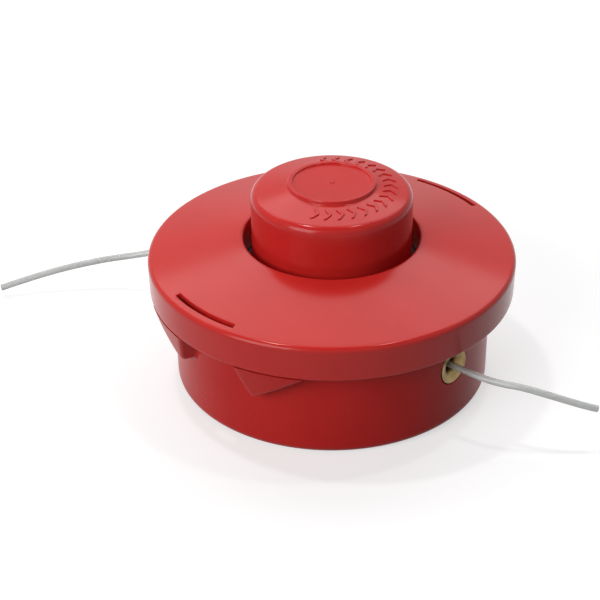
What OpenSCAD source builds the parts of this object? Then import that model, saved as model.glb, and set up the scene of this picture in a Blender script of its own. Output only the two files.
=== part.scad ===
// Bump-feed trimmer head, shown with the bump knob up and standing on its mounting face.
// Millimetres. The drive axis is Z, the mounting face is z = 0, and the two line exits
// and the two latches repeat every half turn.

/* [Housing] */
// Height of the housing wall
housing_h = 44; // [43.5:0.1:45]
// Wall thickness of the housing
wall_t = 2.5; // [2:0.1:3]
// How much the wall radius shrinks down to the base
wall_draft = 0.4; // [0:0.1:0.8]
// Thickness of the housing floor
floor_t = 2.5; // [2:0.1:3]
// Depth of the hollow under the floor
base_recess = 2.5; // [2:0.1:3]
// Radius of the rounded bottom edge
base_round = 3; // [2:0.1:4]
// Width of the ring that the housing stands on, with its rounded edge
base_ring_w = 6.5; // [5.5:0.1:9]
// Number of stiffening ribs under the floor
base_ribs = 12; // [6:1:18]

/* [Cover] */
// Outside diameter of the cover
cover_d = 130; // [127:0.2:134]
// How far the cover stands out from the housing wall
overhang = 8.6; // [8:0.1:9.5]
// Plate thickness of the cover
cover_t = 2.4; // [2:0.1:2.8]
// Height of the lower edge of the cover's skirt
skirt_z = 35.6; // [35:0.1:36.2]
// How much the skirt radius shrinks down to its lower edge
skirt_draft = 0.4; // [0:0.1:0.8]
// Height of the top surface where the rounded rim begins
rim_z = 48.4; // [48:0.1:49]
// Radius of the rounded rim
rim_round = 3; // [2.5:0.1:4]
// Slope of the conical top
cone_angle = 11.9; // [11:0.1:13]
// Gap between the knob and the cover
knob_gap = 2.8; // [2:0.1:3.2]
// Number of stiffening ribs inside the cover
cover_ribs = 12; // [6:1:16]

/* [Latches] */
// Direction of the first latch, the second is opposite
latch_dir = 228; // [220:1:236]
// Width of the latch ledge as an angle
latch_w = 12.5; // [10:0.5:14]
// Width of the moulding slot above the latch hook
slot_w = 1.8; // [1.4:0.1:2.2]
// Length of the moulding slot as an angle
slot_len = 27; // [24:1:32]
// Angle from the latch to the middle of its slot
slot_shift = -3.5; // [-6:0.5:0]
// Half angle between the inner edges of a pair of wings
wing_in = 11; // [9:0.5:13]
// Half angle at the tips of a pair of wings
wing_tip = 16; // [14:0.5:19]
// Half angle between the outer ends of a pair of wings
wing_out = 34; // [28:0.5:38]
// Height of the wing tips
wing_tip_z = 22; // [20:0.5:27]
// How far the wing tips stand out from the wall
wing_tip_out = 4.6; // [3.5:0.1:6]
// Radius of the rounded wing tips
wing_tip_round = 1.8; // [1:0.1:2.4]
// Wall thickness of the wings
wing_t = 1.8; // [1.4:0.1:2.2]

/* [Bump knob] */
// Outside diameter of the knob
knob_d = 56.6; // [55:0.2:58]
// Height of the knob above the spool
knob_h = 32.6; // [31:0.1:36]
// Wall thickness of the knob
knob_t = 2.5; // [2:0.1:3]
// Radius of the knob's shoulder
knob_round = 3; // [2:0.1:4]
// Outside diameter of the raised ring on the knob
ring_d = 30.6; // [26:0.2:34]
// Width of the raised ring
ring_w = 1.7; // [1.2:0.1:2.4]
// Height of the raised ring above the disc inside it
ring_h = 0.7; // [0.4:0.1:1.2]
// Height of the raised ring above the sloping top
ring_step = 1.4; // [1:0.1:2]
// Fall of the knob's top from the ring to the shoulder
knob_slope = 1.9; // [1:0.1:2.6]

/* [Spool] */
// Inside width between the spool flanges
chamber_h = 23.8; // [23:0.1:24.4]
// Thickness of the lower flange
flange_low_t = 2; // [1.6:0.1:2.4]
// Thickness of the upper flange
flange_top_t = 2.2; // [1.8:0.1:2.6]
// Outside diameter of the winding hub
hub_d = 40; // [38:0.5:44]
// Wall thickness of the winding hub
hub_t = 3.7; // [3:0.1:4]
// Length of the sleeve that turns on the post
bearing_h = 12; // [9:0.5:13]
// Gap between the spool flanges and the ends of the eyelets
spool_gap = 1.2; // [1:0.1:2]
// Diameter of the holes that anchor the line
anchor_d = 3; // [2.6:0.1:4]

/* [Feed teeth] */
// Number of teeth in each ring
teeth = 8; // [6:1:8]
// Travel of the knob when it is bumped
stroke = 5; // [4:0.1:5.4]
// Overlap in height of engaged teeth
engage = 2; // [1.5:0.1:2.2]
// Height of the spool's teeth
tooth_h = 3; // [2.8:0.1:3.4]
// Height of the teeth on the housing floor
floor_tooth_h = 4; // [3.5:0.1:4.5]
// Width of the upper teeth
top_tooth_w = 6.4; // [5:0.1:6.8]
// Width of the lower teeth
low_tooth_w = 4.6; // [3.5:0.1:4.8]
// Radial length of the upper teeth
top_tooth_len = 5.2; // [4:0.1:6]
// Inner radius of the lower teeth
low_tooth_r = 22.4; // [21.5:0.1:23.5]
// Radial length of the lower teeth
low_tooth_len = 7; // [5:0.1:8]

/* [Drive and spring] */
// Nominal diameter of the spindle thread
thread_d = 10; // [8:1:10]
// Pitch of the spindle thread
thread_pitch = 1.25; // [1:0.25:1.5]
// Size across the flats of the threaded insert
nut_af = 15; // [14:0.5:16]
// Length of the threaded insert
nut_h = 14; // [10:0.5:16]
// Thickness of the floor under the insert
nut_floor = 4; // [3:0.1:5]
// Outside diameter of the post that carries the spool
post_d = 22; // [21:0.1:22.6]
// Wire diameter of the spring
wire_d = 2; // [1.6:0.1:2]
// Mean diameter of the spring
spring_d = 28; // [27.4:0.1:28.6]
// Turns of the spring, its closed ends counted
spring_turns = 7.5; // [6:0.5:8]
// Thickness of the thrust washer
washer_t = 1.5; // [1:0.1:2]

/* [Line] */
// Diameter of the cutting line
line_d = 2.4; // [2:0.1:2.6]
// Outside radius of the wound line
winding_r = 33.3; // [30:0.1:33.3]
// Direction of the first line exit, the second is opposite
exit_dir = 318.3; // [318.3]
// Height of the line exits
exit_z = 23.6; // [23:0.1:24.2]
// Outside diameter of the eyelets
eyelet_d = 13; // [12:0.1:13.4]
// Diameter of the eyelet's shank
shank_d = 8.6; // [8:0.1:9.4]
// Diameter of the eyelet's bore
bore_d = 4.4; // [4:0.1:5]
// Length of the eyelet
eyelet_len = 5.6; // [5.2:0.1:6]
// Thickness of the eyelet's rim
eyelet_rim_t = 1.6; // [1.2:0.1:2]

/* [Clearances] */
// Radial clearance of the spool on its post
bearing_gap = 0.08; // [0.05:0.01:0.1]
// Clearance of parts that only locate each other
fit_gap = 0.3; // [0.2:0.05:0.4]
// Clearance round parts that are pressed or moulded in
press_gap = 0.05; // [0.02:0.01:0.06]

/* [Hidden] */
$fn = 96;
eps = 0.01;      // overlap that joins shapes of one piece
bite = 0.6;      // depth to which ribs and teeth are rooted in their piece

red = [0.66, 0.13, 0.12];
black = [0.09, 0.09, 0.10];
brass = [0.66, 0.52, 0.28];
steel = [0.62, 0.63, 0.65];
nylon = [0.82, 0.83, 0.82];

// Radii
cover_r = cover_d / 2;
housing_r = cover_r - overhang;
housing_in_r = housing_r - wall_t;
base_r = housing_r - wall_draft;
base_ring_in_r = base_r - base_ring_w;
skirt_r = cover_r - skirt_draft;
skirt_in_r = skirt_r - cover_t;
knob_r = knob_d / 2;
knob_in_r = knob_r - knob_t;
hole_r = knob_r + knob_gap;
collar_r = hole_r + cover_t;
hub_r = hub_d / 2;
hub_in_r = hub_r - hub_t;
post_r = post_d / 2;
bearing_r = post_r + bearing_gap;
bearing_wall = 2.2;
minor_r = (thread_d - 1.0825 * thread_pitch) / 2;
spindle_r = thread_d / 2 + fit_gap;

// Eyelets, measured outwards along their own axis from the drive axis
eyelet_face = sqrt(pow(housing_r, 2) - pow(eyelet_d / 2, 2)) + 0.2;
eyelet_in = eyelet_face - eyelet_len;
boss_in = eyelet_in + fit_gap;
boss_r = eyelet_d / 2 + 1;
spool_r = eyelet_in - spool_gap;

// Heights
floor_z = base_recess + floor_t;
spool_z = floor_z + floor_tooth_h + stroke - engage + tooth_h;
chamber_z = spool_z + flange_low_t;
flange_z = chamber_z + chamber_h;
flange_top = flange_z + flange_top_t;
collar_z = flange_top + fit_gap;
web_t = 4;
web_z = flange_top - 7;
sleeve_top = web_z + bearing_h;
post_top = sleeve_top + 2;
nut_top = nut_floor + nut_h;
hub_bottom = spool_z - tooth_h;

// Cover top
rim_r = cover_r - rim_round * (1 - sin(cone_angle));
function top_at(r) = rim_z + (rim_r - r) * tan(cone_angle);
function under_at(r) = top_at(r) - cover_t;

// Latches, the slot opens over the hook on the inside of the skirt
slot_r1 = skirt_in_r - 0.5;
slot_r0 = slot_r1 - slot_w;
ledge_t = 2.5;
hook_t = 2.6;
hook_z = skirt_z + 0.6;
hook_r0 = slot_r0 - 1.8;
ledge_z = hook_z + hook_t + fit_gap;
latch_shift = slot_shift + slot_len / 4;
ledge_r = slot_r1 - fit_gap / 2;
tongue_r = slot_r0 + fit_gap / 2;
tongue_top = top_at(slot_r1) - 2.2;
wing_top = skirt_z - fit_gap;

// Teeth
feed_angle = 180 / teeth;
top_tooth_r = collar_r + 0.5;
floor_phase = 2.4 + feed_angle + 2 * asin(low_tooth_w / 2 / low_tooth_r);

// Knob socket on the spool
socket_gap = 0.2;
socket_r = knob_in_r - socket_gap;
socket_t = 2;
socket_h = 8;
bead_h = 0.5;
bead_z = flange_top + 5;
key_w = 4;
keys = 4;

// Knob top
knob_top = flange_top + knob_h;
slope_z = knob_top - ring_step;
shoulder_z = slope_z - knob_slope - knob_round;

// Spring and washer
spring_gap = 0.1;
washer_top = web_z - spring_gap / 2;
washer_z = washer_top - washer_t;
washer_r = hub_in_r - fit_gap;
spring_z = floor_z;
spring_top = washer_z - spring_gap;

// Points of an arc about [cx, cz], from angle a0 to a1
function arc(cx, cz, r, a0, a1, n = 8) =
    [for (i = [0:n]) let (a = a0 + (a1 - a0) * i / n) [cx + r * cos(a), cz + r * sin(a)]];

// Ring between two radii and two heights
module ring(r0, r1, z0, z1) {
    rotate_extrude() translate([r0, z0]) square([r1 - r0, z1 - z0]);
}

// Part of a ring that spans an angle about the direction dir
module sector(r0, r1, z0, z1, dir, span) {
    rotate([0, 0, dir - span / 2])
        rotate_extrude(angle = span) translate([r0, z0]) square([r1 - r0, z1 - z0]);
}

// Ring of face teeth with one upright flank and one sloping flank.
// up = 1 for teeth that rise from their ring, -1 for teeth that hang from it.
module tooth_ring(r0, r1, width, z0, z1, phase, up) {
    ramp = 0.35 * (z1 - z0);
    root_z = up > 0 ? z0 : z1;
    tip_z = up > 0 ? z1 : z0;
    intersection() {
        ring(r0, r1, z0, z1);
        for (i = [0:teeth - 1])
            rotate([0, 0, phase + i * 360 / teeth])
                translate([r0 - 1, 0, 0])
                    rotate([90, 0, 90])
                        linear_extrude(r1 - r0 + 2)
                            polygon([[-width / 2, root_z], [width / 2, root_z],
                                     [width / 2, tip_z], [-width / 2 + ramp, tip_z]]);
    }
}

// Housing: cup with a central post, one revolved profile
module housing_profile() {
    hub_foot_r = post_r + 2;
    polygon(concat(
        [[spindle_r, 0], [hub_foot_r, 0], [hub_foot_r, base_recess],
         [base_ring_in_r, base_recess], [base_ring_in_r, 0]],
        arc(base_r - base_round, base_round, base_round, -90, 0),
        [[housing_r, skirt_z], [housing_r, housing_h], [housing_in_r, housing_h]],
        arc(housing_in_r - 2, floor_z + 2, 2, 0, -90, 4),
        arc(post_r + 1, floor_z + 1, 1, -90, -180, 4),
        [[post_r, post_top - 0.8], [post_r - 0.8, post_top], [spindle_r, post_top]]));
}

// Hexagon insert form, shared by the insert and by its pocket in the housing
module insert_form(gap) {
    groove_z = nut_floor + nut_h / 2;
    groove_h = 2;
    groove_depth = 0.8;
    hex_r = nut_af / 2 / cos(30) + gap;
    difference() {
        translate([0, 0, nut_floor - gap]) cylinder(r = hex_r, h = nut_h + 2 * gap, $fn = 6);
        ring(nut_af / 2 - groove_depth + gap, hex_r + 1,
             groove_z - groove_h / 2 + gap, groove_z + groove_h / 2 - gap);
    }
}

// Face of one wing seen from outside, leaning from its upright edge to its long lower edge
function wing_u(a) = skirt_r * sin(a);
function wing_points(inset) =
    let (mid = (wing_in + wing_out) / 2,
         u0 = wing_u(wing_in - mid), u1 = wing_u(wing_tip - mid), u2 = wing_u(wing_out - mid),
         h = wing_top - wing_tip_z,
         near = (u1 - u0) / h, far = (u2 - u1) / h,
         near_in = inset * sqrt(1 + near * near), far_in = inset * sqrt(1 + far * far),
         lift = (near_in + far_in) / (near + far))
    [[u0 + near_in - near, wing_top + 1], [u1 + near_in - near * lift, wing_tip_z + lift],
     [u2 - far_in + far, wing_top + 1]];

// Three points with the lowest one rounded
function tip_rounded(p, r) =
    let (a = (p[0] - p[1]) / norm(p[0] - p[1]), b = (p[2] - p[1]) / norm(p[2] - p[1]),
         half = acos(a * b) / 2, mid = (a + b) / norm(a + b),
         c = p[1] + mid * r / sin(half),
         start = atan2(-a[0], a[1]) + 180, turn = 180 - 2 * half)
    concat([p[0]], arc(c[0], c[1], r, start, start + turn, 6), [p[2]]);

// Cone-shaped band from which the wings are cut
module wing_band(inset) {
    lean = (skirt_r - housing_r - wing_tip_out) / (wing_top - wing_tip_z);
    low = wing_tip_z - 2;
    high = wing_top + (inset > 0 ? 2 : 0);
    r_in = housing_r - bite - (inset > 0 ? 1 : 0);
    rotate_extrude()
        polygon([[r_in, low], [skirt_r - inset - lean * (wing_top - low), low],
                 [skirt_r - inset + lean * (high - wing_top), high], [r_in, high]]);
}

module wing_prism(points) {
    rotate([90, 0, 90]) linear_extrude(skirt_r + 5) polygon(points);
}

// One wing, hollow from above, on the side of larger angles
module wing() {
    rotate([0, 0, (wing_in + wing_out) / 2]) difference() {
        intersection() {
            wing_band(0);
            wing_prism(tip_rounded(wing_points(0), wing_tip_round));
        }
        intersection() {
            wing_band(wing_t);
            wing_prism(wing_points(wing_t));
        }
    }
}

// Ledge that the hook of the cover snaps under, with an upright tongue that shows in the slot
module latch_ledge() {
    root_r = housing_r - bite;
    rotate([0, 0, latch_shift - latch_w / 2]) rotate_extrude(angle = latch_w)
        polygon([[root_r, ledge_z], [ledge_r, ledge_z], [ledge_r, tongue_top],
                 [tongue_r, tongue_top], [tongue_r, ledge_z + ledge_t],
                 [root_r, ledge_z + ledge_t]]);
}

module eyelet_boss() {
    rotate([0, 90, 0]) translate([0, 0, boss_in])
        cylinder(r = boss_r, h = housing_in_r - boss_in + wall_t / 2);
}

module eyelet_hole() {
    rotate([0, 90, 0]) {
        translate([0, 0, boss_in - 1])
            cylinder(r = shank_d / 2 + press_gap, h = eyelet_len);
        translate([0, 0, eyelet_face - eyelet_rim_t - press_gap])
            cylinder(r = eyelet_d / 2 + press_gap, h = eyelet_rim_t + 3);
    }
}

module housing() {
    color(red) difference() {
        union() {
            rotate_extrude() housing_profile();
            for (i = [0:base_ribs - 1])
                rotate([0, 0, i * 360 / base_ribs])
                    translate([post_r + 2 - bite, -0.8, 0.4])
                        cube([base_ring_in_r - post_r - 2 + 2 * bite, 1.6, base_recess]);
            tooth_ring(low_tooth_r, low_tooth_r + low_tooth_len, low_tooth_w,
                       floor_z - bite, floor_z + floor_tooth_h, floor_phase, 1);
            for (side = [0, 180]) {
                rotate([0, 0, latch_dir + side]) {
                    latch_ledge();
                    wing();
                    mirror([0, 1, 0]) wing();
                }
                rotate([0, 0, exit_dir + side]) translate([0, 0, exit_z])
                    eyelet_boss();
            }
        }
        for (side = [0, 180])
            rotate([0, 0, exit_dir + side]) translate([0, 0, exit_z]) eyelet_hole();
        insert_form(press_gap);
    }
}

// Cover: conical plate with a skirt and an inner collar, one revolved profile
module cover_profile() {
    edge_r = 1;
    seat_r1 = housing_r + 1;
    spigot_r = housing_in_r - fit_gap;
    spigot_in_r = spigot_r - 2;
    spigot_z = housing_h - 3;
    polygon(concat(
        [[skirt_in_r, skirt_z], [skirt_r - 0.5, skirt_z], [skirt_r, skirt_z + 0.5]],
        arc(cover_r - rim_round, rim_z - rim_round * cos(cone_angle), rim_round,
            0, 90 - cone_angle, 8),
        arc(hole_r + edge_r, top_at(hole_r + edge_r) - edge_r / cos(cone_angle), edge_r,
            90 - cone_angle, 180, 6),
        [[hole_r, collar_z], [collar_r, collar_z], [collar_r, under_at(collar_r)],
         [spigot_in_r, under_at(spigot_in_r)], [spigot_in_r, spigot_z],
         [spigot_r, spigot_z], [spigot_r, housing_h], [seat_r1, housing_h],
         [seat_r1, under_at(seat_r1)], [skirt_in_r - 1.5, under_at(skirt_in_r - 1.5)],
         [skirt_in_r, under_at(skirt_in_r) - 1.2]]));
}

// Upright rib on the underside of the conical plate
module cover_rib() {
    r0 = top_tooth_r + top_tooth_len + 1;
    r1 = housing_in_r - 2;
    drop = 2;
    translate([0, 0.9, 0]) rotate([90, 0, 0]) linear_extrude(1.8)
        polygon([[r0, under_at(r0) + bite], [r1, under_at(r1) + bite],
                 [r1, under_at(r1) - drop], [r0 + drop, under_at(r0 + drop) - drop],
                 [r0, under_at(r0)]]);
}

module cover() {
    dog_z = flange_top + tooth_h - engage;
    dog_r1 = top_tooth_r + top_tooth_len;
    color(red) difference() {
        union() {
            rotate_extrude() cover_profile();
            tooth_ring(collar_r - bite, dog_r1, top_tooth_w, dog_z,
                       under_at(dog_r1) + bite, feed_angle, -1);
            for (i = [0:cover_ribs - 1])
                rotate([0, 0, (i + 0.5) * 360 / cover_ribs]) cover_rib();
            for (side = [0, 180])
                sector(hook_r0, skirt_in_r + bite, hook_z, hook_z + hook_t,
                       latch_dir + side + latch_shift, latch_w - 1);
        }
        for (side = [0, 180])
            sector(slot_r0, slot_r1, tongue_top - 2, top_at(slot_r0) + 1,
                   latch_dir + side + slot_shift, slot_len);
    }
}

// Knob: cup with a sloping top, a raised ring and a small gate mark in the middle
module knob_profile() {
    r_top = ring_d / 2;
    disc_z = knob_top - ring_h;
    soft = 0.3;
    groove = bead_h + 0.05;
    inner_top = disc_z - knob_t;
    inner_edge = shoulder_z + knob_round - knob_t;
    polygon(concat(
        [[knob_in_r, flange_top], [knob_r, flange_top]],
        arc(knob_r - knob_round, shoulder_z, knob_round, 0, 90),
        [[r_top + 0.3, slope_z], [r_top, slope_z + soft], [r_top, knob_top - soft],
         [r_top - soft, knob_top], [r_top - ring_w + soft, knob_top],
         [r_top - ring_w, knob_top - soft], [r_top - ring_w, disc_z],
         [1, disc_z], [0.8, disc_z + 0.4], [0, disc_z + 0.4],
         [0, inner_top], [r_top - ring_w, inner_top],
         [knob_in_r - 1.5, inner_edge], [knob_in_r, inner_edge - 1.5],
         [knob_in_r, bead_z + 0.8], [knob_in_r + groove, bead_z],
         [knob_in_r, bead_z - 0.8]]));
}

module bump_knob() {
    rib_h = 5;
    rib_z = shoulder_z - rib_h;
    color(red) {
        rotate_extrude() knob_profile();
        intersection() {
            cylinder(r = knob_in_r + bite, h = shoulder_z + knob_round - knob_t + bite);
            for (a = [0, 60, 120])
                rotate([0, 0, a]) translate([-knob_r, -0.9, rib_z])
                    cube([2 * knob_r, 1.8, knob_h]);
        }
        for (i = [0:keys - 1])
            rotate([0, 0, i * 360 / keys])
                translate([knob_in_r - 1.6, -key_w / 2, flange_top + fit_gap])
                    cube([1.6 + bite, key_w, socket_h]);
    }
}

// Spool: hub, flanges, bearing sleeve and knob socket, one revolved profile
module spool_profile() {
    polygon([
        [hub_in_r, hub_bottom], [hub_r, hub_bottom], [hub_r, spool_z],
        [spool_r - 0.5, spool_z], [spool_r, spool_z + 0.5],
        [spool_r, chamber_z - 0.5], [spool_r - 0.5, chamber_z],
        [hub_r, chamber_z], [hub_r, flange_z],
        [spool_r - 0.5, flange_z], [spool_r, flange_z + 0.5],
        [spool_r, flange_top - 0.5], [spool_r - 0.5, flange_top],
        [socket_r, flange_top], [socket_r, bead_z - 0.6], [socket_r + bead_h, bead_z],
        [socket_r, bead_z + 0.6], [socket_r, flange_top + socket_h - 0.6],
        [socket_r - 0.6, flange_top + socket_h], [socket_r - socket_t, flange_top + socket_h],
        [socket_r - socket_t, flange_top], [hub_in_r, flange_top],
        [hub_in_r, web_z + web_t], [bearing_r + bearing_wall, web_z + web_t],
        [bearing_r + bearing_wall, sleeve_top], [bearing_r, sleeve_top],
        [bearing_r, web_z], [hub_in_r, web_z]]);
}

module spool() {
    notch_w = line_d + 0.4;
    notch_len = 6;
    color(black) difference() {
        union() {
            rotate_extrude() spool_profile();
            tooth_ring(top_tooth_r, top_tooth_r + top_tooth_len - 0.3, top_tooth_w,
                       flange_top - bite, flange_top + tooth_h, 0, 1);
            tooth_ring(low_tooth_r, low_tooth_r + low_tooth_len, low_tooth_w,
                       spool_z - tooth_h, spool_z + bite, 0, -1);
        }
        // notches that hold the line ends while the spool is wound
        for (side = [0, 180])
            rotate([0, 0, side + feed_angle / 2]) translate([spool_r - notch_len, 0, flange_z - 1]) {
                cylinder(d = notch_w, h = flange_top_t + 2, $fn = 32);
                translate([0, -notch_w / 2 + 0.4, 0])
                    cube([notch_len + 1, notch_w - 0.8, flange_top_t + 2]);
            }
        // holes that anchor the line in the hub
        for (side = [0, 180])
            rotate([0, 0, side]) translate([0, 0, chamber_z + chamber_h / 2]) rotate([0, 90, 0])
                cylinder(d = anchor_d, h = hub_r + 1, $fn = 32);
        // keyways for the knob
        for (i = [0:keys - 1])
            rotate([0, 0, i * 360 / keys])
                translate([socket_r - socket_t - 1, -key_w / 2 - 0.2, flange_top])
                    cube([socket_t + 3, key_w + 0.4, socket_h + 1]);
    }
}

// Both strands wound side by side: a ring with one ridge for each turn across the hub
module line_winding() {
    height = chamber_h - 2 * fit_gap;
    ridges = floor(height / line_d);
    pitch = height / ridges;
    z0 = chamber_z + fit_gap;
    color(nylon) rotate_extrude()
        polygon(concat(
            [[hub_r + press_gap, z0]],
            [for (i = [0:ridges - 1])
                each arc(winding_r - pitch / 2, z0 + (i + 0.5) * pitch, pitch / 2, -90, 90, 6)],
            [[hub_r + press_gap, z0 + height]]));
}

module thrust_washer() {
    color(steel) ring(post_r + fit_gap / 2, washer_r, washer_z, washer_top);
}

// Path of the spring wire: closed turns at both ends and even turns between them
function spring_height(t) =
    let (ends = 1, active = spring_turns - 2 * ends, closed = wire_d + 0.1,
         run = spring_top - spring_z - wire_d - 2 * ends * closed)
    t < ends ? t * closed
    : t < ends + active ? ends * closed + (t - ends) * run / active
    : ends * closed + run + (t - ends - active) * closed;

module feed_spring() {
    steps = 24;
    sides = 8;
    count = floor(spring_turns * steps);
    points = [for (i = [0:count], k = [0:sides - 1])
        let (a = i * 360 / steps, b = k * 360 / sides,
             r = spring_d / 2 + wire_d / 2 * cos(b),
             z = spring_z + wire_d / 2 + spring_height(i / steps) - wire_d / 2 * sin(b))
        [r * cos(a), r * sin(a), z]];
    color(steel) tube(points, count + 1, sides);
}

// Skin over rings of points, closed at both ends
module tube(points, rings, sides) {
    polyhedron(points, concat(
        [[for (k = [0:sides - 1]) k]],
        [for (i = [0:rings - 2], k = [0:sides - 1])
            [i * sides + k, (i + 1) * sides + k,
             (i + 1) * sides + (k + 1) % sides, i * sides + (k + 1) % sides]],
        [[for (k = [sides - 1:-1:0]) (rings - 1) * sides + k]]));
}

module drive_nut() {
    lead = 1;
    color(steel) difference() {
        insert_form(0);
        translate([0, 0, nut_floor - 1]) cylinder(r = minor_r, h = nut_h + 2);
        translate([0, 0, nut_floor - eps])
            cylinder(r1 = minor_r + lead, r2 = minor_r, h = lead);
        translate([0, 0, nut_top - lead + eps])
            cylinder(r1 = minor_r, r2 = minor_r + lead, h = lead);
    }
}

// Turned bush with a bell mouth, its axis along the line exit
module eyelet() {
    mouth = (eyelet_d - bore_d) / 2 - 0.5;
    step = eyelet_face - eyelet_rim_t;
    color(brass) translate([0, 0, exit_z]) rotate([0, 90, 0]) rotate_extrude()
        polygon(concat(
            [[bore_d / 2 + 0.4, eyelet_in], [shank_d / 2, eyelet_in], [shank_d / 2, step],
             [eyelet_d / 2, step], [eyelet_d / 2, eyelet_face]],
            arc(bore_d / 2 + mouth, eyelet_face - mouth, mouth, 90, 180, 10),
            [[bore_d / 2, eyelet_in + 0.4]]));
}

module eyelet_right() {
    rotate([0, 0, exit_dir]) eyelet();
}

module eyelet_left() {
    rotate([0, 0, exit_dir + 180]) eyelet();
}

// Routes of the free line ends, from the winding through the eyelets and outwards
route_right = [[16, -31, 23.6], [20.5, -29.5, 23.6], [25, -29, 23.6], [29.5, -29.5, 23.6],
    [34, -31, 23.6], [38, -34, 23.6], [42, -37.5, 23.6], [46, -40.5, 23.5], [50, -43.4, 23.3],
    [54.5, -46, 23.1], [59, -48, 23.1], [64, -49.6, 23], [69.5, -50.8, 22], [75, -51.5, 20.5],
    [80.5, -51.9, 18.8], [85.5, -52, 17.2], [90, -52, 15.9]];
route_left = [[-16, 31, 23.6], [-20.5, 29.5, 23.6], [-25, 29, 23.6], [-29.5, 29.5, 23.6],
    [-34, 31, 23.6], [-38, 34, 23.6], [-42, 37.5, 23.6], [-46, 40.8, 23.3], [-50.5, 44, 22.5],
    [-55.5, 47, 21.2], [-60.5, 49.5, 19.6], [-65.5, 51.3, 18], [-70.5, 52.5, 16.4],
    [-76, 53.4, 14.9], [-81.5, 53.8, 13.8], [-87, 53.9, 12.8], [-92.5, 53.6, 11.8],
    [-98, 53, 10.8], [-103.5, 52.3, 9.7], [-109, 51.4, 8.5], [-114, 50.5, 7.3],
    [-119, 49.6, 6], [-123.5, 48.7, 4.8], [-128, 48, 3.4]];

// Direction of a route at point i, and a tube of flat rings square to it
function heading(p, i) =
    let (d = p[min(i + 1, len(p) - 1)] - p[max(i - 1, 0)]) d / norm(d);
function ring_at(p, i, r, sides) =
    let (d = heading(p, i), across = cross([0, 0, 1], d), s = across / norm(across),
         u = cross(d, s))
    [for (k = [0:sides - 1]) let (a = k * 360 / sides) p[i] + r * (cos(a) * s + sin(a) * u)];

module line_tail(route) {
    sides = 8;
    color(nylon)
        tube([for (i = [0:len(route) - 1]) each ring_at(route, i, line_d / 2, sides)],
             len(route), sides);
}

module line_tail_right() {
    line_tail(route_right);
}

module line_tail_left() {
    line_tail(route_left);
}

housing();
cover();
bump_knob();
spool();
line_winding();
thrust_washer();
feed_spring();
drive_nut();
eyelet_right();
eyelet_left();
line_tail_right();
line_tail_left();
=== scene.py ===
import math
import bmesh
import bpy
from mathutils import Matrix, Vector


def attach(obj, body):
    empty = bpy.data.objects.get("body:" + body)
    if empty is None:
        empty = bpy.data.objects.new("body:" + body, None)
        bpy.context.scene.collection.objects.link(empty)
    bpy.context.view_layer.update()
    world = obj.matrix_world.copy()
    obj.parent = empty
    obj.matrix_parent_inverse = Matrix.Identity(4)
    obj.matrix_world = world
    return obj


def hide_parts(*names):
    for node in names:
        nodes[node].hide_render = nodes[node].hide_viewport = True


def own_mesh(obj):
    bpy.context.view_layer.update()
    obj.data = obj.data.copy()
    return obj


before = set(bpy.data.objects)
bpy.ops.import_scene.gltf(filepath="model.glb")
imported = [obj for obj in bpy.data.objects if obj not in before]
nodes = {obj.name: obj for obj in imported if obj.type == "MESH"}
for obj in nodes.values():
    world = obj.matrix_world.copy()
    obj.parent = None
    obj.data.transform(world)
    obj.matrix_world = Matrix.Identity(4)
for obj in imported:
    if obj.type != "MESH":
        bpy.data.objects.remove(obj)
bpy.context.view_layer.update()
mm = 0.001
print("frame loaded with", len(nodes), "nodes")

# camera, placed as the photograph was taken
cameraSet = {
    "place": (0, -0.5714, 0.3777),
    "aim": (0, 0, 0.030),
    "lens": 112.0,
    "shiftX": -0.0531,
    "shiftY": -0.0109,
}
cameraData = bpy.data.cameras.new("photoCamera")
cameraData.lens = cameraSet["lens"]
cameraData.sensor_width = 36
cameraData.shift_x = cameraSet["shiftX"]
cameraData.shift_y = cameraSet["shiftY"]
cameraData.clip_start = 0.01
cameraObject = bpy.data.objects.new("photoCamera", cameraData)
bpy.context.scene.collection.objects.link(cameraObject)
lookAlong = Vector(cameraSet["aim"]) - Vector(cameraSet["place"])
cameraObject.matrix_world = (
    Matrix.Translation(cameraSet["place"]) @ lookAlong.to_track_quat("-Z", "Y").to_matrix().to_4x4()
)
bpy.context.scene.camera = cameraObject


# node helpers

def put(tree, kind, settings=None, inputs=None):
    node = tree.nodes.new(kind)
    for key, value in (settings or {}).items():
        setattr(node, key, value)
    for key, value in (inputs or {}).items():
        if isinstance(value, bpy.types.NodeSocket):
            tree.links.new(value, node.inputs[key])
        else:
            node.inputs[key].default_value = value
    return node


def newGroup(name, kind, inputs, outputs):
    tree = bpy.data.node_groups.new(name, kind)
    for label, socketType, value in inputs:
        socket = tree.interface.new_socket(label, in_out="INPUT", socket_type=socketType)
        if value is not None:
            socket.default_value = value
    for label, socketType in outputs:
        tree.interface.new_socket(label, in_out="OUTPUT", socket_type=socketType)
    return tree, put(tree, "NodeGroupInput").outputs, put(tree, "NodeGroupOutput").inputs


# shader groups that several finishes share

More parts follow.
